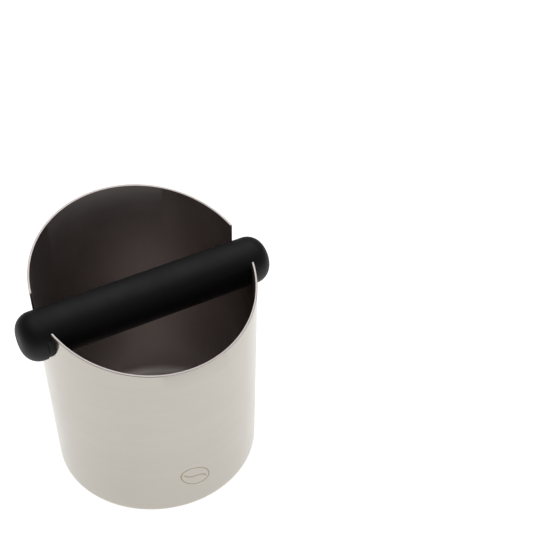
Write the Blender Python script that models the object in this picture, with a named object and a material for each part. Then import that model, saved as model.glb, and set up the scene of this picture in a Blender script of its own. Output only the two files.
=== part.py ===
"""Espresso knock box: a drawn steel cup with a slanted rim, a rubber pad under it and a lift-out knock bar.

Run with: blender --background --python part.py
Units are metres and +Z is up. The origin is the middle of the pad's underside, the bar runs along X,
and the low side of the rim faces -Y.
"""

import math

import bmesh
import bpy
from mathutils import Matrix

# Cup
CUP_RADIUS = 0.0575  # outside, at the height of the middle of the rim
CUP_HEIGHT = 0.1208  # from the cup's underside to the middle of the slanted rim
CUP_TAPER = 0.02  # change of radius for each unit of height, widest at the top
CUP_WALL = 0.0011
CORNER_RADIUS = 0.0055  # outside radius between wall and base
RIM_TILT = math.radians(16.2)  # the rim is one flat plane, low in front and high behind
LIP_ROUND = 0.0005  # radius of the four corners where the slots meet the rim
FOOT_WIDTH = 0.0110  # flat ring of the base, between its outside corner and its raised middle
PANEL_BEND = 0.0016  # radius of the two bends round the raised middle of the base

# Pad in the raised middle of the base
PAD_THICKNESS = 0.0022
PAD_PROUD = 0.0008  # how far the pad stands out below the cup
PAD_CHAMFER = 0.0004

# Knock bar
BAR_RADIUS = 0.0128
REST_DEPTH = 0.0135  # from the middle of the rim down to the axis of the bar
BAR_Y = -0.0010  # the slots and the bar lie this far in front of the cup's axis
GROOVE_DEPTH = 0.0010  # from the bar's surface to its neck, at the sides and below
COLLAR_LENGTH = 0.0026  # straight stretch between the cup's outside and the rounding of an end
END_ROUND = 0.0090  # how far the rounding of an end runs along the bar
END_FLAT_RADIUS = 0.0038  # flat middle of an end
TUBE_RADIUS = 0.0080
TUBE_WALL = 0.0015
SPIGOT_LENGTH = 0.0120  # plug of an end piece, inside the tube
SPIGOT_CHAMFER = 0.0010

# Fits
TOUCH_GAP = 0.0003  # between pieces that touch on the real object
NECK_CLEARANCE = 0.0003  # between the bar's neck and the edge of its slot
GROOVE_CLEARANCE = 0.0004  # between the cup's wall and the sides of the bar's grooves

# Facets
CUP_SEGMENTS = 72
BAR_SEGMENTS = 40
BEND_STEPS = 3
END_STEPS = 6
SLOT_STEPS = 16
CUTTER_MARGIN = 0.0100


def wall_radius(height):
    """Outside radius of the cup at a height above its underside."""
    return CUP_RADIUS + CUP_TAPER * (height - CUP_HEIGHT)


CUP_Z = PAD_PROUD  # underside of the cup
REST_HEIGHT = CUP_HEIGHT - REST_DEPTH  # axis of the bar above the cup's underside
NECK_RADIUS = BAR_RADIUS - GROOVE_DEPTH
SLOT_RADIUS = NECK_RADIUS + NECK_CLEARANCE
BAR_HALF = wall_radius(REST_HEIGHT) + COLLAR_LENGTH + END_ROUND
TUBE_HALF = BAR_HALF - END_ROUND - TOUCH_GAP

PANEL_RISE = PAD_THICKNESS - PAD_PROUD + TOUCH_GAP
PANEL_SWEEP = math.acos(1 - PANEL_RISE / (2 * PANEL_BEND))  # turn of each bend round the raised middle
CORNER_X = wall_radius(CORNER_RADIUS) - CORNER_RADIUS  # where the base's corner starts
FOOT_X = CORNER_X - FOOT_WIDTH  # where the flat ring ends and the bends start
PANEL_RADIUS = FOOT_X - 2 * PANEL_BEND * math.sin(PANEL_SWEEP)
PAD_RADIUS = PANEL_RADIUS - TOUCH_GAP


def rim_height(y):
    """Height of the rim's plane above the cup's underside."""
    return CUP_HEIGHT + y * math.tan(RIM_TILT)


def material(name, colour, roughness, metallic):
    """A Principled BSDF with its colour in linear values."""
    made = bpy.data.materials.new(name)
    made.use_nodes = True
    shader = made.node_tree.nodes["Principled BSDF"]
    shader.inputs["Base Color"].default_value = (*colour, 1.0)
    shader.inputs["Roughness"].default_value = roughness
    shader.inputs["Metallic"].default_value = metallic
    made.diffuse_color = (*colour, 1.0)
    return made


def add_object(name, shape, parent, finish=None):
    """Turn a bmesh into a named object, shaded smooth except at its sharp edges."""
    bmesh.ops.recalc_face_normals(shape, faces=shape.faces)
    mesh = bpy.data.meshes.new(name)
    shape.to_mesh(mesh)
    shape.free()
    mesh.shade_smooth()
    mesh.set_sharp_from_angle(angle=math.radians(30))
    if finish is not None:
        mesh.materials.append(finish)
    made = bpy.data.objects.new(name, mesh)
    bpy.context.collection.objects.link(made)
    made.parent = parent
    return made


def add_empty(name, y, z):
    """An empty, level and square to the cup, which pieces hang from."""
    made = bpy.data.objects.new(name, None)
    bpy.context.collection.objects.link(made)
    made.location = (0.0, y, z)
    return made


def arc(centre_x, centre_y, radius, start, end, steps):
    """Points on an arc with both its ends; angles in degrees."""
    points = []
    for step in range(steps + 1):
        angle = math.radians(start + (end - start) * step / steps)
        points.append((centre_x + radius * math.cos(angle), centre_y + radius * math.sin(angle)))
    return points


def turned(outline, segments):
    """Turn a closed outline of (radius, height) points round Z; a point on the axis becomes a pole."""
    shape = bmesh.new()
    rings = []
    for radius, height in outline:
        ring = []
        for step in range(segments if radius > 0.0 else 1):
            angle = math.tau * step / segments
            ring.append(shape.verts.new((radius * math.cos(angle), radius * math.sin(angle), height)))
        rings.append(ring)
    for ring, following in zip(rings, rings[1:] + rings[:1]):
        if len(ring) == len(following) == 1:
            continue
        for step in range(segments):
            after = step + 1
            corners = [ring[step % len(ring)], ring[after % len(ring)]]
            corners += [following[after % len(following)], following[step % len(following)]]
            shape.faces.new(dict.fromkeys(corners))
    return shape


def lay_along_x(shape, side=1):
    """Turn a shape so that its +Z points along +X, or along -X when side is -1."""
    bmesh.ops.rotate(shape, verts=shape.verts, matrix=Matrix.Rotation(side * math.pi / 2, 3, "Y"))
    return shape


def extruded(outline, low, high):
    """Run a closed outline of (y, z) points along X, from low to high."""
    shape = bmesh.new()
    near = [shape.verts.new((low, y, z)) for y, z in outline]
    far = [shape.verts.new((high, y, z)) for y, z in outline]
    shape.faces.new(near)
    shape.faces.new(far)
    for step in range(len(outline)):
        after = (step + 1) % len(outline)
        shape.faces.new((near[step], near[after], far[after], far[step]))
    return shape


def cut(target, name, shape, parent):
    """Take a shape away from an object with a Boolean whose cutter stays as a guide."""
    cutter = add_object(name, shape, parent)
    cutter.hide_render = True
    cutter.display_type = "WIRE"
    step = target.modifiers.new(name, "BOOLEAN")
    step.operation = "DIFFERENCE"
    step.solver = "EXACT"
    step.object = cutter


def cup_section():
    """Closed section of the sheet, from the middle of the base to above the highest point of the rim."""
    top = rim_height(CUP_RADIUS) + CUTTER_MARGIN
    tight = PANEL_BEND - CUP_WALL / 2
    wide = PANEL_BEND + CUP_WALL / 2
    sweep = math.degrees(PANEL_SWEEP)
    bend_z = PANEL_RISE - tight
    section = [(0.0, PANEL_RISE)]
    section += arc(PANEL_RADIUS, bend_z, tight, 90, 90 - sweep, BEND_STEPS)
    section += arc(FOOT_X, wide, wide, 270 - sweep, 270, BEND_STEPS)[1:]
    section += arc(CORNER_X, CORNER_RADIUS, CORNER_RADIUS, 270, 360, BEND_STEPS)
    section += [(wall_radius(top), top), (wall_radius(top) - CUP_WALL, top)]
    section += arc(CORNER_X, CORNER_RADIUS, CORNER_RADIUS - CUP_WALL, 360, 270, BEND_STEPS)
    section += arc(FOOT_X, wide, tight, 270, 270 - sweep, BEND_STEPS)
    section += arc(PANEL_RADIUS, bend_z, wide, 90 - sweep, 90, BEND_STEPS)[1:]
    section.append((0.0, PANEL_RISE + CUP_WALL))
    return section


def slot_outline(above):
    """Outline of (y, z) points of what a slot takes away up to a height, round at its lips."""
    front = BAR_Y - SLOT_RADIUS
    back = BAR_Y + SLOT_RADIUS
    drop = LIP_ROUND / math.cos(RIM_TILT)
    front_z = rim_height(front - LIP_ROUND) - drop
    back_z = rim_height(back + LIP_ROUND) - drop
    square_to_rim = 90 + math.degrees(RIM_TILT)
    back_round = arc(back + LIP_ROUND, back_z, LIP_ROUND, 180, square_to_rim, BEND_STEPS)
    front_round = arc(front - LIP_ROUND, front_z, LIP_ROUND, square_to_rim, 0, BEND_STEPS)
    outline = arc(BAR_Y, REST_HEIGHT, SLOT_RADIUS, 180, 360, SLOT_STEPS) + back_round
    return outline + [(back_round[-1][0], above), (front_round[0][0], above)] + front_round


def make_cup(parent, finish):
    """The drawn cup, with its slanted rim and the two slots that the bar rests in."""
    cup = add_object("cup_body", turned(cup_section(), CUP_SEGMENTS), parent, finish)
    reach = CUP_RADIUS + CUTTER_MARGIN
    above = rim_height(reach) + CUTTER_MARGIN
    waste = [(-reach, rim_height(-reach)), (reach, rim_height(reach)), (reach, above), (-reach, above)]
    cut(cup, "rim_cutter", extruded(waste, -reach, reach), parent)
    cut(cup, "slot_cutter", extruded(slot_outline(above), -reach, reach), parent)


def make_pad(finish):
    """The non-slip pad, set in the raised middle of the base."""
    section = [(0.0, 0.0), (PAD_RADIUS - PAD_CHAMFER, 0.0), (PAD_RADIUS, PAD_CHAMFER)]
    section += [(PAD_RADIUS, PAD_THICKNESS), (0.0, PAD_THICKNESS)]
    add_object("base_pad", turned(section, CUP_SEGMENTS), None, finish)


def pipe(inside, outside, half_length):
    """A plain tube along X, centred on the origin."""
    section = [(inside, -half_length), (outside, -half_length)]
    section += [(outside, half_length), (inside, half_length)]
    return lay_along_x(turned(section, BAR_SEGMENTS))


def groove_outline():
    """Outline, in the bar's frame, of what a groove takes away: all round the neck but above it."""
    reach = BAR_RADIUS + CUTTER_MARGIN
    neck = arc(0.0, 0.0, NECK_RADIUS, 0, -180, SLOT_STEPS)
    outline = [(-reach, reach), (-reach, -reach), (reach, -reach), (reach, reach), (NECK_RADIUS, reach)]
    return outline + neck + [(-NECK_RADIUS, reach)]


def make_sleeve(parent, finish):
    """The rubber sleeve, with a groove at each end that lets the cup's wall in from below and the sides."""
    sleeve = add_object("bar_sleeve", pipe(TUBE_RADIUS + TOUCH_GAP, BAR_RADIUS, TUBE_HALF), parent, finish)
    lowest_wall = wall_radius(REST_HEIGHT - BAR_RADIUS) - CUP_WALL
    farthest_y = BAR_RADIUS + abs(BAR_Y)
    inner_side = math.sqrt(lowest_wall ** 2 - farthest_y ** 2) - GROOVE_CLEARANCE
    outer_side = wall_radius(REST_HEIGHT) + GROOVE_CLEARANCE
    cut(sleeve, "groove_cutter_left", extruded(groove_outline(), -outer_side, -inner_side), parent)
    cut(sleeve, "groove_cutter_right", extruded(groove_outline(), inner_side, outer_side), parent)


def make_end(name, side, parent, finish):
    """A rounded rubber end with a spigot that plugs the tube; side is -1 for left and 1 for right."""
    spigot = TUBE_RADIUS - TUBE_WALL - TOUCH_GAP
    start = BAR_HALF - END_ROUND
    section = [(0.0, start - SPIGOT_LENGTH), (spigot - SPIGOT_CHAMFER, start - SPIGOT_LENGTH)]
    section += [(spigot, start - SPIGOT_LENGTH + SPIGOT_CHAMFER), (spigot, start)]
    for step in range(END_STEPS + 1):
        angle = math.pi / 2 * step / END_STEPS
        radius = END_FLAT_RADIUS + (BAR_RADIUS - END_FLAT_RADIUS) * math.cos(angle)
        section.append((radius, start + END_ROUND * math.sin(angle)))
    section.append((0.0, BAR_HALF))
    add_object(name, lay_along_x(turned(section, BAR_SEGMENTS), side), parent, finish)


def main():
    for old in list(bpy.data.objects):
        bpy.data.objects.remove(old, do_unlink=True)

    brushed_steel = material("brushed_stainless_steel", (0.52, 0.51, 0.50), 0.30, 1.0)
    plain_steel = material("drawn_steel_tube", (0.45, 0.45, 0.45), 0.35, 1.0)
    bar_rubber = material("matt_black_bar_rubber", (0.013, 0.013, 0.015), 0.55, 0.0)
    pad_rubber = material("black_pad_rubber", (0.020, 0.020, 0.020), 0.75, 0.0)

    cup_origin = add_empty("cup_origin", 0.0, CUP_Z)
    bar_axis = add_empty("bar_axis", BAR_Y, CUP_Z + REST_HEIGHT)
    make_cup(cup_origin, brushed_steel)
    make_pad(pad_rubber)
    tube = pipe(TUBE_RADIUS - TUBE_WALL, TUBE_RADIUS, TUBE_HALF)
    add_object("bar_tube", tube, bar_axis, plain_steel)
    make_sleeve(bar_axis, bar_rubber)
    make_end("bar_end_left", -1, bar_axis, bar_rubber)
    make_end("bar_end_right", 1, bar_axis, bar_rubber)


if __name__ == "__main__":
    main()
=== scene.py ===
"""Looks of an espresso knock box: a brushed steel cup, a rubber bar that rests in it and a pad under it.

The CAD frame gives every place. The property groups hold the sizes and colours that a person would change,
each operator makes one piece or one group of like pieces, and main() runs them all in order.
"""

import math

import bmesh
import bpy
from bpy.props import FloatProperty, FloatVectorProperty, IntProperty, PointerProperty
from mathutils import Euler, Matrix, Vector


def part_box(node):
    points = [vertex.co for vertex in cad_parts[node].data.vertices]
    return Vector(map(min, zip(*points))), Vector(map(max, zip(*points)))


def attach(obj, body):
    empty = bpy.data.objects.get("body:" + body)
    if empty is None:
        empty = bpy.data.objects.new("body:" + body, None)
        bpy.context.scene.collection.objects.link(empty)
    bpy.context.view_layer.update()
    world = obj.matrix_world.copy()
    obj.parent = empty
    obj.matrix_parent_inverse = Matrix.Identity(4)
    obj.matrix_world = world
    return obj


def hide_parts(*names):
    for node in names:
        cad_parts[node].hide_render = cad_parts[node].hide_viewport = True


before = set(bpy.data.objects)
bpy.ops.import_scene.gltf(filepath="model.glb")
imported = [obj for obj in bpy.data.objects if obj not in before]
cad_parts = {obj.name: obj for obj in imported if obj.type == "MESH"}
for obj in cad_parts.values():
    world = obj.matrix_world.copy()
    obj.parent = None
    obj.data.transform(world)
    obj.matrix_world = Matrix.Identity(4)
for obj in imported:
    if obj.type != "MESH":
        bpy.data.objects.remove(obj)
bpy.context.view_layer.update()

bl_info = {
    "name": "Espresso knock box",
    "version": (1, 0, 0),
    "blender": (4, 5, 0),
    "location": "3D View > Sidebar > Knock Box",
    "description": "Makes the visible pieces of a steel knock box with a lift-out rubber bar",
    "category": "Add Mesh",
}

MM = 0.001

CUP_LOW, CUP_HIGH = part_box("cup_body")
SLEEVE_LOW, SLEEVE_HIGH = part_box("bar_sleeve")
END_LOW, END_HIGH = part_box("bar_end_right")
TUBE_LOW, TUBE_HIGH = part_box("bar_tube")
PAD_LOW, PAD_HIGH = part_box("base_pad")

CUP_RADIUS = (CUP_HIGH.y - CUP_LOW.y) / 2
BAR_AXIS = (SLEEVE_LOW + SLEEVE_HIGH) / 2
BAR_RADIUS = (SLEEVE_HIGH.z - SLEEVE_LOW.z) / 2
TUBE_RADIUS = (TUBE_HIGH.z - TUBE_LOW.z) / 2
BAR_HALF = END_HIGH.x
TOUCH_GAP = 0.3 * MM
TUBE_WALL = 1.5 * MM
SPIGOT_CHAMFER = 1.0 * MM
CUTTER_MARGIN = 10 * MM
WELD = 0.002 * MM  # points nearer than this are one

# How carve() cleans up, from just under the bar to the rim
CARVED_FROM = SLEEVE_LOW.z - 2 * MM
FLAT_ANGLE = math.radians(0.5)  # faces that differ by less become one
SLIVER = 0.12 * MM  # edges shorter than this go
CORNER_ANGLE = math.radians(50)  # edges sharper than this are rounded

# Etched coffee bean
BEAN_LEAN = math.radians(-32)
BEAN_SLIMNESS = 1.45  # its length for each unit of width
BEAN_WAVE = 0.16  # swing of its crease, for half a bean's length of 1
CREASE_REACH = 0.8  # how far its crease runs towards its outline

# Channels of the pad
CHANNEL_MOUTH = 1.0 * MM  # half of a channel's width, at its mouth and at its bottom
CHANNEL_BOTTOM = 0.7 * MM

# Stage
POOL_CENTRE = (0.12, 0.28, 0.0)
POOL_FADE = 0.2
SOFTBOX_PLACE = (0.3, 0.3, 1.3)
CAMERA_PLACE = (-0.16133, -0.40956, 0.49126)
CAMERA_PITCH = math.radians(90 - 39.839)
CAMERA_YAW = math.radians(-29.572)
CAMERA_ROLL = math.radians(0.138)


def hex_to_linear(code):
    """Turn an sRGB hex colour, such as "c8c4bf", into linear red, green, blue and alpha."""
    channels = []
    for start in (0, 2, 4):
        value = int(code[start:start + 2], 16) / 255
        channels.append(value / 12.92 if value <= 0.04045 else ((value + 0.055) / 1.055) ** 2.4)
    return (*channels, 1.0)


def length_property(name, description, default):
    """A length in metres that a person may change."""
    return FloatProperty(name=name, description=description, default=default, min=0.0, precision=5,
                         subtype="DISTANCE", unit="LENGTH")


def colour_property(name, description, code):
    """A colour that a person may change, from its sRGB hex value."""
    return FloatVectorProperty(name=name, description=description, default=hex_to_linear(code), size=4,
                               min=0.0, max=1.0, subtype="COLOR")


class KnockBoxCup(bpy.types.PropertyGroup):
    """Sizes and colours of the drawn steel cup"""

    tilt: FloatProperty(
        name="Rim tilt", description="Angle of the slanted rim's plane", default=math.radians(16.2),
        subtype="ANGLE", unit="ROTATION")
    taper: FloatProperty(
        name="Taper", description="Change of radius for each unit of height, widest at the top",
        default=0.02)
    wall: length_property("Wall", "Thickness of the sheet", 1.1 * MM)
    corner: length_property("Corner", "Outside radius between the wall and the base", 5.5 * MM)
    foot: length_property("Foot", "Width of the flat ring round the base", 11.0 * MM)
    bend: length_property("Bend", "Radius of the bends round the raised middle of the base", 1.6 * MM)
    slot: length_property("Slot", "Half of the width of a rest slot", 12.1 * MM)
    lip: length_property("Lip", "Radius of the corners where the slots meet the rim", 0.5 * MM)
    edge: length_property("Edge", "Width of the deburred edges of the sheet", 0.22 * MM)
    segments: IntProperty(name="Segments", description="Facets round the cup", default=240, min=24)
    outside_gloss: FloatProperty(name="Outside gloss", description="Roughness of the outside", default=0.16)
    inside_gloss: FloatProperty(name="Inside gloss", description="Roughness of the inside", default=0.30)
    outside: colour_property("Outside", "Brushed steel of the outside", "bbb6ae")
    inside: colour_property("Inside", "Brushed steel of the inside", "cdc4c1")
    cut: colour_property("Cut edge", "Trimmed edge of the sheet", "d2c9c6")
    mark: colour_property("Mark", "Lines of the etched coffee bean", "aaa08f")
    mark_height: length_property("Mark height", "Middle of the etched bean above the base", 25.0 * MM)
    mark_side: length_property("Mark side", "How far the bean lies left of the front's middle", 3.0 * MM)
    mark_length: length_property("Mark length", "Length of the etched bean", 17.0 * MM)
    mark_line: length_property("Mark line", "Width of the etched lines", 0.9 * MM)


class KnockBoxBar(bpy.types.PropertyGroup):
    """Sizes and colours of the rubber bar"""

    groove: length_property("Groove depth", "Depth of the grooves that the cup's wall enters", 0.75 * MM)
    clearance: length_property("Groove clearance", "Room between the wall and the groove's sides", 0.4 * MM)
    round_length: length_property("End round", "Length of the rounding of an end", 9.0 * MM)
    flat_radius: length_property("End flat", "Radius of the flat middle of an end", 3.8 * MM)
    seam: length_property("Seam", "Gap that shows between the sleeve and an end", 0.01 * MM)
    edge: length_property("Edge", "Rounding of the sleeve's moulded edges", 0.45 * MM)
    segments: IntProperty(name="Segments", description="Facets round the bar", default=128, min=24)
    rubber: colour_property("Rubber", "Moulded rubber of the bar", "08080a")
    bloom: colour_property("Rubber bloom", "Bar rubber where it has bloomed", "0c0c0f")


class KnockBoxPad(bpy.types.PropertyGroup):
    """Sizes and colours of the pad under the cup"""

    chamfer: length_property("Chamfer", "Bevel of the pad's lower edge", 0.4 * MM)
    rib_depth: length_property("Rib depth", "Depth of the channels between the ribs", 0.5 * MM)
    rib_pitch: length_property("Rib pitch", "Distance from one rib to the next", 5.0 * MM)
    segments: IntProperty(name="Segments", description="Facets round the pad", default=144, min=24)
    rubber: colour_property("Rubber", "Moulded rubber of the pad", "242424")


class KnockBoxStage(bpy.types.PropertyGroup):
    """Floor, light and camera"""

    floor_size: length_property("Floor size", "Side of the floor", 6.0)
    floor: colour_property("Floor", "Backlit white table", "e6e6e4")
    glow: FloatProperty(name="Glow", description="Light that comes through the table", default=0.86)
    overhead: FloatProperty(name="Overhead", description="Brightness of the overhead softbox", default=1.15)
    box_side: length_property("Softbox", "Side of the square overhead softbox", 1.5)
    pool: length_property("Pool", "Radius of the evenly lit part of the table", 0.55)
    room: FloatProperty(name="Room", description="Brightness of the dim room round the table", default=0.14)
    lens: FloatProperty(
        name="Lens", description="Focal length on a 36 mm sensor, in millimetres", default=76.4)


# ---------------------------------------------------------------- nodes

def feed(tree, node, inputs):
    """Set a node's inputs, by name or place, to plain values or link them to sockets."""
    for key, value in inputs.items():
        if isinstance(value, bpy.types.NodeSocket):
            tree.links.new(value, node.inputs[key])
        else:
            node.inputs[key].default_value = value


def add(tree, kind, inputs=(), output=0, **settings):
    """Add a node with its settings and links, and give back one of its outputs."""
    node = tree.nodes.new(kind)
    for name, value in settings.items():
        setattr(node, name, value)
    feed(tree, node, inputs if isinstance(inputs, dict) else dict(enumerate(inputs)))
    return node.outputs[output]


def turning_tree():
    """Geometry Nodes that turn a closed section of (radius, 0, height) points round Z into a skin."""
    tree = bpy.data.node_groups.new("turn_section", "GeometryNodeTree")
    for name, kind in (("Section", "Geometry"), ("Segments", "Int"), ("Finish", "Material")):
        tree.interface.new_socket(name, in_out="INPUT", socket_type="NodeSocket" + kind)
    tree.interface.new_socket("Skin", in_out="OUTPUT", socket_type="NodeSocketGeometry")
    math_kind = "ShaderNodeMath"
    given = tree.nodes.new("NodeGroupInput").outputs
    count = add(tree, "GeometryNodeAttributeDomainSize", [given["Section"]], "Point Count",
                component="MESH")
    columns = add(tree, math_kind, [given["Segments"], 1.0], operation="ADD")
    rows = add(tree, math_kind, [count, 1.0], operation="ADD")
    grid = add(tree, "GeometryNodeMeshGrid", [1.0, 1.0, columns, rows])
    place = add(tree, "GeometryNodeInputPosition")
    cell = add(tree, "ShaderNodeVectorMath", [place, (0.5, 0.5, 0.0)], operation="ADD")
    across = add(tree, "ShaderNodeSeparateXYZ", [cell], "X")
    along = add(tree, "ShaderNodeSeparateXYZ", [cell], "Y")
    turn = add(tree, math_kind, [across, math.tau], operation="MULTIPLY")
    rise = add(tree, math_kind, [along, count], operation="MULTIPLY")
    row = add(tree, math_kind, [rise], operation="ROUND")
    index = add(tree, math_kind, [row, count], operation="MODULO")
    point = add(tree, "GeometryNodeSampleIndex", {"Geometry": given["Section"], "Index": index},
                data_type="FLOAT_VECTOR", domain="POINT")
    tree.links.new(place, point.node.inputs["Value"])
    radius = add(tree, "ShaderNodeSeparateXYZ", [point], "X")
    height = add(tree, "ShaderNodeSeparateXYZ", [point], "Z")
    cosine = add(tree, math_kind, [turn], operation="COSINE")
    sine = add(tree, math_kind, [turn], operation="SINE")
    x = add(tree, math_kind, [radius, cosine], operation="MULTIPLY")
    y = add(tree, math_kind, [radius, sine], operation="MULTIPLY")
    turned = add(tree, "ShaderNodeCombineXYZ", [x, y, height])
    moved = add(tree, "GeometryNodeSetPosition", {"Geometry": grid, "Position": turned})
    closed = add(tree, "GeometryNodeMergeByDistance", {"Geometry": moved, "Distance": WELD})
    plain = add(tree, "GeometryNodeRealizeInstances", [closed])
    skin = add(tree, "GeometryNodeSetMaterial", {"Geometry": plain, "Material": given["Finish"]})
    feed(tree, tree.nodes.new("NodeGroupOutput"), {"Skin": skin})
    return tree


# ---------------------------------------------------------------- meshes

def arc(centre_x, centre_y, radius, start, end, steps):
    """Points on an arc with both its ends; angles in degrees."""
    points = []
    for step in range(steps + 1):
        angle = math.radians(start + (end - start) * step / steps)
        points.append((centre_x + radius * math.cos(angle), centre_y + radius * math.sin(angle)))
    return points


def run(start, end, steps):
    """Points spaced evenly between two points, without the two themselves."""
    return [tuple(Vector(start).lerp(Vector(end), step / steps)) for step in range(1, steps)]


def new_object(name, mesh):
    """A new object for a mesh, linked to the scene."""
    made = bpy.data.objects.new(name, mesh)
    bpy.context.scene.collection.objects.link(made)
    return made


def settle(piece):
    """Replace a piece's mesh by what its modifiers make of it, and remove the modifiers."""
    view = bpy.context.evaluated_depsgraph_get()
    made = bpy.data.meshes.new_from_object(piece.evaluated_get(view), depsgraph=view)
    piece.modifiers.clear()
    made.name = piece.name
    piece.data = made


def face_outwards(mesh):
    """Merge the doubles of a closed mesh, drop edges without faces and point all faces outwards."""
    shape = bmesh.new()
    shape.from_mesh(mesh)
    bmesh.ops.remove_doubles(shape, verts=shape.verts, dist=WELD)
    bare = [side for side in shape.edges if not side.link_faces]
    bmesh.ops.delete(shape, geom=bare, context="EDGES")
    bmesh.ops.recalc_face_normals(shape, faces=shape.faces)
    shape.to_mesh(mesh)
    shape.free()


def turn(name, section, segments, finish):
    """Turn a closed section of (radius, height) points round Z, with the turning tree."""
    mesh = bpy.data.meshes.new(name)
    links = [(step, (step + 1) % len(section)) for step in range(len(section))]
    mesh.from_pydata([(radius, 0.0, height) for radius, height in section], links, [])
    piece = new_object(name, mesh)
    tree = bpy.data.node_groups.get("turn_section") or turning_tree()
    lathe = piece.modifiers.new("turn", "NODES")
    lathe.node_group = tree
    lathe[tree.interface.items_tree["Segments"].identifier] = segments
    lathe[tree.interface.items_tree["Finish"].identifier] = finish
    settle(piece)
    piece.data.materials.pop(index=0)  # the empty slot that the tree's grid brings
    face_outwards(piece.data)
    return piece


def extruded(name, outline, low, high):
    """A cutter: a closed outline of (y, z) points run along X, from low to high."""
    shape = bmesh.new()
    near = [shape.verts.new((low, y, z)) for y, z in outline]
    far = [shape.verts.new((high, y, z)) for y, z in outline]
    shape.faces.new(near)
    shape.faces.new(far)
    for step in range(len(outline)):
        after = (step + 1) % len(outline)
        shape.faces.new((near[step], near[after], far[after], far[step]))
    bmesh.ops.recalc_face_normals(shape, faces=shape.faces)
    mesh = bpy.data.meshes.new(name)
    shape.to_mesh(mesh)
    shape.free()
    return new_object(name, mesh)


def carve(piece, cutters, edge, steps, reach):
    """Cut a piece, clean the faces round the cuts and round their edges.

    The rounding takes the given steps and goes as far along X as the reach on either side.
    """
    for cutter in cutters:
        cut = piece.modifiers.new(cutter.name, "BOOLEAN")
        cut.operation = "DIFFERENCE"
        cut.solver = "EXACT"
        cut.object = cutter
    settle(piece)
    for cutter in cutters:
        bpy.data.objects.remove(cutter, do_unlink=True)
    shape = bmesh.new()
    shape.from_mesh(piece.data)
    near = [point for point in shape.verts if point.co.z > CARVED_FROM]
    edges = list({side for point in near for side in point.link_edges})
    bmesh.ops.dissolve_limit(shape, angle_limit=FLAT_ANGLE, verts=near, edges=edges)
    near = [point for point in shape.verts if point.co.z > CARVED_FROM]
    bmesh.ops.remove_doubles(shape, verts=near, dist=SLIVER)
    corners = [side for side in shape.edges if side.is_manifold and side.calc_face_angle() > CORNER_ANGLE
               and abs(side.verts[0].co.x) < reach]
    bmesh.ops.bevel(shape, geom=corners, offset=edge, offset_type="OFFSET", segments=steps, profile=0.5,
                    affect="EDGES", clamp_overlap=False, loop_slide=True)
    shape.to_mesh(piece.data)
    shape.free()


def finish_piece(piece, body, slot, sharp, *nodes):
    """Shade a piece, tie it to its body and let it stand for its CAD nodes; its slot is not used."""
    piece.data.shade_smooth()
    piece.data.set_sharp_from_angle(angle=math.radians(sharp))
    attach(piece, body)
    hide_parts(*nodes)


# ---------------------------------------------------------------- materials

def new_material(name, constants):
    """A material whose Principled BSDF has its constants set; returns it with its tree and shader."""
    made = bpy.data.materials.new(name)
    made.use_nodes = True
    shader = made.node_tree.nodes["Principled BSDF"]
    feed(made.node_tree, shader, constants)
    return made, made.node_tree, shader


def round_grain(tree, length, width):
    """A vector for grain that runs round Z, with streaks of a length along it and a width across it."""
    place = add(tree, "ShaderNodeTexCoord", output="Object")
    level = add(tree, "ShaderNodeVectorMath", [place, (1.0, 1.0, 0.0)], operation="MULTIPLY")
    radius = add(tree, "ShaderNodeVectorMath", [level], "Value", operation="LENGTH")
    outwards = add(tree, "ShaderNodeCombineXYZ", [0.0, 0.0, radius])
    lifted = add(tree, "ShaderNodeVectorMath", [place, outwards], operation="ADD")
    fineness = (1 / length, 1 / length, 1 / width)
    return add(tree, "ShaderNodeVectorMath", [lifted, fineness], operation="MULTIPLY")


def bean_mask(tree, cup):
    """One on the lines of a coffee bean etched on the front of the cup, and zero elsewhere."""
    math_kind = "ShaderNodeMath"
    vector_kind = "ShaderNodeVectorMath"
    half = cup.mark_length / 2
    line = cup.mark_line / 2
    place = add(tree, "ShaderNodeTexCoord", output="Object")
    # The bean leans to the right; its own x runs along it and its own z across it.
    own = add(tree, "ShaderNodeMapping", {"Vector": place, "Rotation": (0.0, BEAN_LEAN, 0.0)})
    centre = Vector((-cup.mark_side, 0.0, CUP_LOW.z + cup.mark_height))
    centre.rotate(Matrix.Rotation(BEAN_LEAN, 3, "Y"))
    offset = add(tree, vector_kind, [own, tuple(centre)], operation="SUBTRACT")
    along = add(tree, "ShaderNodeSeparateXYZ", [offset], "X")
    across = add(tree, "ShaderNodeSeparateXYZ", [offset], "Z")
    rounded = add(tree, vector_kind, [offset, (1.0, 0.0, BEAN_SLIMNESS)], operation="MULTIPLY")
    reach = add(tree, vector_kind, [rounded], "Value", operation="LENGTH")
    outline = add(tree, math_kind, [reach, half, line], operation="COMPARE")
    phase = add(tree, math_kind, [along, math.pi / half], operation="MULTIPLY")
    swing = add(tree, math_kind, [phase], operation="SINE")
    wave = add(tree, math_kind, [swing, BEAN_WAVE * half], operation="MULTIPLY")
    crease = add(tree, math_kind, [across, wave, line], operation="COMPARE")
    inside = add(tree, math_kind, [reach, CREASE_REACH * half], operation="LESS_THAN")
    middle = add(tree, math_kind, [crease, inside], operation="MULTIPLY")
    lines = add(tree, math_kind, [outline, middle], operation="MAXIMUM")
    depth = add(tree, "ShaderNodeSeparateXYZ", [place], "Y")
    in_front = add(tree, math_kind, [depth, 0.0], operation="LESS_THAN")
    return add(tree, math_kind, [lines, in_front], operation="MULTIPLY")


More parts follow.
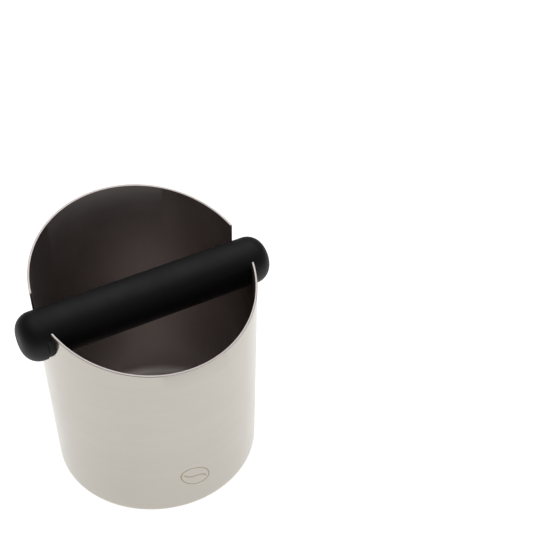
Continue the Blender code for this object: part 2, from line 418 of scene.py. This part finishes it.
def brushed_stainless_steel(name, colour, cup, gloss, dull, contrast, marked):
    """Stainless steel 304, drawn and then brushed round its axis.

    The fine lines run round the cup, so a highlight is sharp along them and smeared up and down the wall.
    Gloss is the roughness between the lines, dull is how much rougher the base is, where the brush doesn't
    reach, and contrast is how far the lines stand out. A marked one has the etched bean.
    """
    made, tree, shader = new_material(name, {
        "Metallic": 1.0, "Anisotropic": 0.75, "Anisotropic Rotation": 0.25})
    place = add(tree, "ShaderNodeTexCoord", output="Object")
    # Real grit lines are about 0.1 mm wide; they are drawn 0.5 mm wide so that they show.
    lines = add(tree, "ShaderNodeTexNoise", {
        "Vector": round_grain(tree, 160 * MM, 0.5 * MM), "Scale": 1.0, "Detail": 3.0, "Roughness": 0.6})
    bands = add(tree, "ShaderNodeTexNoise", {
        "Vector": round_grain(tree, 120 * MM, 3.0 * MM), "Scale": 1.0, "Detail": 2.0})
    handling = add(tree, "ShaderNodeTexNoise", {"Vector": place, "Scale": 1 / (25 * MM), "Detail": 3.0})
    grain = add(tree, "ShaderNodeMix", {"Factor": 0.35, "A": lines, "B": bands})
    darker = tuple((1 - contrast) * channel for channel in colour[:3]) + (1.0,)
    depth = add(tree, "ShaderNodeMapRange", {"Value": grain, "From Min": 0.35, "From Max": 0.65})
    base = add(tree, "ShaderNodeMix", {"Factor": depth, 6: darker, 7: tuple(colour)}, 2,
               data_type="RGBA")
    rough = add(tree, "ShaderNodeMapRange", {"Value": grain, "From Min": 0.3, "From Max": 0.7,
                                             "To Min": gloss, "To Max": gloss + contrast})
    worn = add(tree, "ShaderNodeMapRange", {
        "Value": handling, "From Min": 0.4, "From Max": 0.7, "To Max": 0.04})
    rough = add(tree, "ShaderNodeMath", [rough, worn], operation="ADD")
    height = add(tree, "ShaderNodeSeparateXYZ", [place], "Z")
    base_dull = add(tree, "ShaderNodeMapRange", {
        "Value": height, "From Min": 5 * MM, "From Max": 20 * MM, "To Min": dull, "To Max": 0.0})
    rough = add(tree, "ShaderNodeMath", [rough, base_dull], operation="ADD")
    if marked:
        mark = bean_mask(tree, cup)
        base = add(tree, "ShaderNodeMix", {"Factor": mark, 6: base, 7: tuple(cup.mark)}, 2,
                   data_type="RGBA")
        rough = add(tree, "ShaderNodeMath", [mark, 0.2, rough], operation="MULTIPLY_ADD")
    bump = add(tree, "ShaderNodeBump", {"Strength": 1.5 * contrast, "Distance": 0.02 * MM, "Height": grain})
    feed(tree, shader, {"Base Color": base, "Roughness": rough, "Normal": bump})
    return made


def trimmed_steel(name, colour):
    """Stainless steel 304 where the sheet was cut and deburred: brighter, with fine marks and no grain."""
    made, tree, shader = new_material(name, {"Metallic": 1.0})
    place = add(tree, "ShaderNodeTexCoord", output="Object")
    marks = add(tree, "ShaderNodeTexNoise", {"Vector": place, "Scale": 1 / (0.6 * MM), "Detail": 2.0})
    darker = tuple(0.88 * channel for channel in colour[:3]) + (1.0,)
    depth = add(tree, "ShaderNodeMapRange", {"Value": marks, "From Min": 0.35, "From Max": 0.65})
    base = add(tree, "ShaderNodeMix", {"Factor": depth, 6: darker, 7: tuple(colour)}, 2,
               data_type="RGBA")
    rough = add(tree, "ShaderNodeMapRange", {"Value": marks, "To Min": 0.28, "To Max": 0.4})
    feed(tree, shader, {"Base Color": base, "Roughness": rough})
    return made


def moulded_rubber(name, colour, bloom, grain, roughness):
    """Rubber moulded in a spark-eroded tool: black, with a fine even grain that scatters its highlight."""
    made, tree, shader = new_material(name, {"IOR": 1.42})
    place = add(tree, "ShaderNodeTexCoord", output="Object")
    fine = add(tree, "ShaderNodeTexNoise", {
        "Vector": place, "Scale": 1 / grain, "Detail": 2.0, "Roughness": 0.6})
    cloud = add(tree, "ShaderNodeTexNoise", {"Vector": place, "Scale": 1 / (14 * MM), "Detail": 3.0})
    depth = add(tree, "ShaderNodeMapRange", {"Value": cloud, "From Min": 0.35, "From Max": 0.7})
    base = add(tree, "ShaderNodeMix", {"Factor": depth, 6: tuple(colour), 7: tuple(bloom)}, 2,
               data_type="RGBA")
    rough = add(tree, "ShaderNodeMapRange", {"Value": cloud, "From Min": 0.3, "From Max": 0.7,
                                             "To Min": roughness - 0.04, "To Max": roughness + 0.04})
    bump = add(tree, "ShaderNodeBump", {"Strength": 0.3, "Distance": 0.05 * MM, "Height": fine})
    feed(tree, shader, {"Base Color": base, "Roughness": rough, "Normal": bump})
    return made


def drawn_tube_steel():
    """Cold drawn stainless tube: plain satin steel with faint die lines along it."""
    made, tree, shader = new_material("stainless_steel_drawn_tube", {"Metallic": 1.0})
    place = add(tree, "ShaderNodeTexCoord", output="Object")
    # Die lines are about 0.2 mm apart across the tube and run along it.
    fineness = (1 / (60 * MM), 1 / (0.2 * MM), 1 / (0.2 * MM))
    stretch = add(tree, "ShaderNodeMapping", {"Vector": place, "Scale": fineness})
    lines = add(tree, "ShaderNodeTexNoise", {"Vector": stretch, "Scale": 1.0, "Detail": 2.0})
    dark = hex_to_linear("b4b4b4")
    bright = hex_to_linear("cacaca")
    base = add(tree, "ShaderNodeMix", {"Factor": lines, 6: dark, 7: bright}, 2, data_type="RGBA")
    rough = add(tree, "ShaderNodeMapRange", {"Value": lines, "From Min": 0.3, "From Max": 0.7,
                                             "To Min": 0.28, "To Max": 0.4})
    feed(tree, shader, {"Base Color": base, "Roughness": rough})
    return made


# ---------------------------------------------------------------- pieces

def wall_radius(cup, z):
    """Outside radius of the cup's wall at a height."""
    middle = CUP_HIGH.z - math.tan(cup.tilt) * CUP_HIGH.y
    return CUP_RADIUS + cup.taper * (z - middle)


def cup_section(cup):
    """Closed section of the sheet, from the middle of the base to above the highest point of the rim."""
    base = CUP_LOW.z
    rise = PAD_HIGH.z - base + TOUCH_GAP
    top = CUP_HIGH.z + CUTTER_MARGIN
    corner_x = wall_radius(cup, base + cup.corner) - cup.corner
    foot_x = corner_x - cup.foot
    sweep = math.acos(1 - rise / (2 * cup.bend))
    panel_x = foot_x - 2 * cup.bend * math.sin(sweep)
    tight = cup.bend - cup.wall / 2
    wide = cup.bend + cup.wall / 2
    degrees = math.degrees(sweep)
    corner_z = base + cup.corner
    panel_z = base + rise
    section = [(0.0, panel_z)]
    section += run((0.0, panel_z), (panel_x, panel_z), 6)
    section += arc(panel_x, panel_z - tight, tight, 90, 90 - degrees, 6)
    section += arc(foot_x, base + wide, wide, 270 - degrees, 270, 6)[1:]
    section += run((foot_x, base), (corner_x, base), 3)
    section += arc(corner_x, corner_z, cup.corner, 270, 360, 10)
    outside = run((wall_radius(cup, corner_z), corner_z), (wall_radius(cup, top), top), 25)
    section += outside + [(wall_radius(cup, top), top), (wall_radius(cup, top) - cup.wall, top)]
    section += [(radius - cup.wall, height) for radius, height in reversed(outside)]
    section += arc(corner_x, corner_z, cup.corner - cup.wall, 360, 270, 10)
    section += run((corner_x, base + cup.wall), (foot_x, base + cup.wall), 3)
    section += arc(foot_x, base + wide, tight, 270, 270 - degrees, 6)
    section += arc(panel_x, panel_z - tight, wide, 90 - degrees, 90, 6)[1:]
    section += run((panel_x, panel_z + cup.wall), (0.0, panel_z + cup.wall), 6)
    section.append((0.0, panel_z + cup.wall))
    return section


def slot_outline(cup, above):
    """Outline of (y, z) points of what a slot takes away up to a height, round at its lips."""
    front = BAR_AXIS.y - cup.slot - cup.lip
    back = BAR_AXIS.y + cup.slot + cup.lip
    slope = math.tan(cup.tilt)
    drop = CUP_HIGH.z - slope * CUP_HIGH.y - cup.lip / math.cos(cup.tilt)
    square_to_rim = 90 + math.degrees(cup.tilt)
    outline = arc(BAR_AXIS.y, BAR_AXIS.z, cup.slot, 180, 360, 48)
    outline += arc(back, drop + slope * back, cup.lip, 180, square_to_rim, 8)
    front_round = arc(front, drop + slope * front, cup.lip, square_to_rim, 0, 8)
    return outline + [(outline[-1][0], above), (front_round[0][0], above)] + front_round


def sort_cup_faces(mesh, cup):
    """Give the inside of the cup material 1 and the cut edges of the sheet material 2."""
    corner_x = wall_radius(cup, CUP_LOW.z + cup.corner) - cup.corner
    for face in mesh.polygons:
        place = Vector((face.center.x, face.center.y, 0.0))
        outwards = -face.normal.z
        if place.length > corner_x:
            outwards += face.normal.dot(place.normalized())
        if outwards < 0.0:
            face.material_index = 1
        depth = wall_radius(cup, face.center.z) - place.length
        skin = 0.3 * cup.edge
        if face.center.z > SLEEVE_LOW.z - MM and skin < depth < cup.wall - skin:
            face.material_index = 2


class KNOCKBOX_OT_cup(bpy.types.Operator):
    """Make the drawn steel cup with its slanted rim and its two rest slots"""

    bl_idname = "knockbox.cup"
    bl_label = "Cup"

    def execute(self, context):
        cup = context.scene.knockbox_cup
        outside = brushed_stainless_steel(
            "stainless_steel_304_brushed_outside", cup.outside, cup, cup.outside_gloss,
            dull=0.0, contrast=0.05, marked=True)
        inside = brushed_stainless_steel(
            "stainless_steel_304_brushed_inside", cup.inside, cup, cup.inside_gloss,
            dull=0.22, contrast=0.03, marked=False)
        piece = turn("steel_cup", cup_section(cup), cup.segments, outside)
        reach = CUP_HIGH.y + CUTTER_MARGIN
        above = CUP_HIGH.z + 3 * CUTTER_MARGIN
        slope = math.tan(cup.tilt)
        middle = CUP_HIGH.z - slope * CUP_HIGH.y
        waste = [(-reach, middle - reach * slope), (reach, middle + reach * slope)]
        waste += [(reach, above), (-reach, above)]
        slot = slot_outline(cup, above)
        cutters = [extruded("rim_waste", waste, -reach, reach), extruded("slot_waste", slot, -reach, reach)]
        carve(piece, cutters, cup.edge, 2, reach)
        piece.data.materials.append(inside)
        piece.data.materials.append(trimmed_steel("stainless_steel_304_cut_edge", cup.cut))
        sort_cup_faces(piece.data, cup)
        finish_piece(piece, "cup", "brushed_steel_cup", 20, "cup_body")
        return {"FINISHED"}


def sleeve_section(bar):
    """Closed section of the sleeve, as (radius, distance along the bar) points."""
    inside = TUBE_RADIUS + TOUCH_GAP
    half = BAR_HALF - bar.round_length - bar.seam
    section = [(inside, -half), (BAR_RADIUS, -half)]
    section += run((BAR_RADIUS, -half), (BAR_RADIUS, half), 40)
    return section + [(BAR_RADIUS, half), (inside, half)]


def groove_outline(bar):
    """Outline of what a groove takes away: all round the neck but above it."""
    neck = BAR_RADIUS - bar.groove
    reach = BAR_RADIUS + CUTTER_MARGIN
    outline = [(-reach, reach), (-reach, -reach), (reach, -reach), (reach, reach), (neck, reach)]
    outline += arc(0.0, 0.0, neck, 0, -180, 48) + [(-neck, reach)]
    return [(BAR_AXIS.y + y, BAR_AXIS.z + z) for y, z in outline]


def end_section(bar):
    """Section of a rounded end with its spigot, as (radius, distance along the bar) points."""
    spigot = TUBE_RADIUS - TUBE_WALL - TOUCH_GAP
    tip = END_LOW.x
    start = BAR_HALF - bar.round_length
    section = [(0.0, tip), (spigot - SPIGOT_CHAMFER, tip), (spigot, tip + SPIGOT_CHAMFER), (spigot, start)]
    section += run((spigot, start), (BAR_RADIUS, start), 4)
    for cosine, sine in arc(0.0, 0.0, 1.0, 0, 90, 24):
        radius = bar.flat_radius + (BAR_RADIUS - bar.flat_radius) * cosine
        section.append((radius, start + bar.round_length * sine))
    section += run((bar.flat_radius, BAR_HALF), (0.0, BAR_HALF), 3)
    section.append((0.0, BAR_HALF))
    return section


class KNOCKBOX_OT_bar(bpy.types.Operator):
    """Make the rubber sleeve of the bar and its two rounded ends, and finish its steel tube"""

    bl_idname = "knockbox.bar"
    bl_label = "Knock bar"

    def execute(self, context):
        bar = context.scene.knockbox_bar
        cup = context.scene.knockbox_cup
        rubber = moulded_rubber("epdm_rubber_moulded", bar.rubber, bar.bloom, 0.5 * MM, 0.6)
        lay = Matrix.Rotation(math.pi / 2, 4, "Y")

        sleeve = turn("rubber_sleeve", sleeve_section(bar), bar.segments, rubber)
        sleeve.data.transform(Matrix.Translation(BAR_AXIS) @ lay)
        lowest_wall = wall_radius(cup, SLEEVE_LOW.z) - cup.wall
        farthest_y = BAR_RADIUS + abs(BAR_AXIS.y)
        inner_side = math.sqrt(lowest_wall ** 2 - farthest_y ** 2) - bar.clearance
        outer_side = wall_radius(cup, BAR_AXIS.z) + bar.clearance
        outline = groove_outline(bar)
        cutters = [extruded("groove_left", outline, -outer_side, -inner_side),
                   extruded("groove_right", outline, inner_side, outer_side)]
        carve(sleeve, cutters, bar.edge, 3, outer_side + MM)
        finish_piece(sleeve, "bar", "bar_rubber", 40, "bar_sleeve")

        for name, facing in (("right", 0.0), ("left", math.pi)):
            end = turn("rubber_end_" + name, end_section(bar), bar.segments, rubber)
            end.data.transform(Matrix.Translation(BAR_AXIS) @ Matrix.Rotation(facing, 4, "Z") @ lay)
            finish_piece(end, "bar", "bar_rubber", 40, "bar_end_" + name)

        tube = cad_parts["bar_tube"]
        tube.data.materials.clear()
        tube.data.materials.append(drawn_tube_steel())
        return {"FINISHED"}


class KNOCKBOX_OT_pad(bpy.types.Operator):
    """Make the ribbed pad under the cup"""

    bl_idname = "knockbox.pad"
    bl_label = "Pad"

    def execute(self, context):
        pad = context.scene.knockbox_pad
        rubber = moulded_rubber("silicone_rubber_moulded", pad.rubber, pad.rubber, 0.6 * MM, 0.7)
        radius = PAD_HIGH.x
        low = PAD_LOW.z
        edge = radius - pad.chamfer
        section = [(0.0, low)]
        for rib in range(1, int(edge / pad.rib_pitch)):
            place = rib * pad.rib_pitch
            section += [(place - CHANNEL_MOUTH, low), (place - CHANNEL_BOTTOM, low + pad.rib_depth)]
            section += [(place + CHANNEL_BOTTOM, low + pad.rib_depth), (place + CHANNEL_MOUTH, low)]
        section += [(edge, low), (radius, low + pad.chamfer), (radius, PAD_HIGH.z), (0.0, PAD_HIGH.z)]
        piece = turn("rubber_pad", section, pad.segments, rubber)
        finish_piece(piece, "cup", "pad_rubber", 30, "base_pad")
        return {"FINISHED"}


def softbox(name, place, side, brightness):
    """A square softbox that looks at the middle of the bar.

    Its brightness is 1 where it looks as bright as a white wall in full light.
    """
    light = bpy.data.lights.new(name, "AREA")
    light.shape = "SQUARE"
    light.size = side
    light.energy = brightness * math.pi * side * side
    made = bpy.data.objects.new(name, light)
    bpy.context.scene.collection.objects.link(made)
    made.location = place
    made.rotation_euler = (BAR_AXIS - made.location).to_track_quat("-Z", "Y").to_euler()


class KNOCKBOX_OT_stage(bpy.types.Operator):
    """Make the pale backlit table, the soft studio light and the camera"""

    bl_idname = "knockbox.stage"
    bl_label = "Stage"

    def execute(self, context):
        stage = context.scene.knockbox_stage
        half = stage.floor_size / 2
        mesh = bpy.data.meshes.new("floor")
        corners = [(-half, -half, 0.0), (half, -half, 0.0), (half, half, 0.0), (-half, half, 0.0)]
        mesh.from_pydata(corners, [], [(0, 1, 2, 3)])
        floor = new_object("floor", mesh)
        # White acrylic sheet, lit softly from below as product tables are, so shadows on it stay faint.
        made, tree, shader = new_material("white_acrylic_table", {
            "Base Color": tuple(stage.floor), "Roughness": 0.9, "Emission Color": (1.0, 1.0, 1.0, 1.0)})
        place = add(tree, "ShaderNodeTexCoord", output="Object")
        away = add(tree, "ShaderNodeVectorMath", [place, POOL_CENTRE], "Value", operation="DISTANCE")
        glow = add(tree, "ShaderNodeMapRange", {
            "Value": away, "From Min": stage.pool, "From Max": stage.pool + POOL_FADE,
            "To Min": stage.glow, "To Max": 0.0}, interpolation_type="SMOOTHSTEP")
        feed(tree, shader, {"Emission Strength": glow})
        mesh.materials.append(made)

        world = bpy.data.worlds.new("studio")
        world.use_nodes = True
        feed(world.node_tree, world.node_tree.nodes["Background"],
             {"Color": (1.0, 1.0, 1.0, 1.0), "Strength": stage.room})
        context.scene.world = world
        softbox("overhead_softbox", SOFTBOX_PLACE, stage.box_side, stage.overhead)

        camera = bpy.data.objects.new("camera", bpy.data.cameras.new("camera"))
        camera.data.lens = stage.lens
        camera.location = CAMERA_PLACE
        level = Euler((CAMERA_PITCH, 0.0, CAMERA_YAW)).to_matrix()
        camera.rotation_euler = (level @ Matrix.Rotation(CAMERA_ROLL, 3, "Z")).to_euler()
        context.scene.collection.objects.link(camera)
        context.scene.camera = camera
        context.scene.view_settings.view_transform = "Standard"
        return {"FINISHED"}


class KNOCKBOX_PT_pieces(bpy.types.Panel):
    """Lists the operators that make the knock box"""

    bl_idname = "KNOCKBOX_PT_pieces"
    bl_label = "Knock Box"
    bl_space_type = "VIEW_3D"
    bl_region_type = "UI"
    bl_category = "Knock Box"

    def draw(self, context):
        for operator in OPERATORS:
            self.layout.operator(operator.bl_idname)


GROUPS = {"knockbox_cup": KnockBoxCup, "knockbox_bar": KnockBoxBar, "knockbox_pad": KnockBoxPad,
          "knockbox_stage": KnockBoxStage}
OPERATORS = (KNOCKBOX_OT_stage, KNOCKBOX_OT_cup, KNOCKBOX_OT_bar, KNOCKBOX_OT_pad)
CLASSES = (*GROUPS.values(), *OPERATORS, KNOCKBOX_PT_pieces)


def register():
    for kind in CLASSES:
        bpy.utils.register_class(kind)
    for name, group in GROUPS.items():
        setattr(bpy.types.Scene, name, PointerProperty(type=group))


def unregister():
    for name in GROUPS:
        delattr(bpy.types.Scene, name)
    for kind in reversed(CLASSES):
        bpy.utils.unregister_class(kind)


def main():
    """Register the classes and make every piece."""
    register()
    bpy.ops.knockbox.stage()
    bpy.ops.knockbox.cup()
    bpy.ops.knockbox.bar()
    bpy.ops.knockbox.pad()


if __name__ == "__main__":
    main()
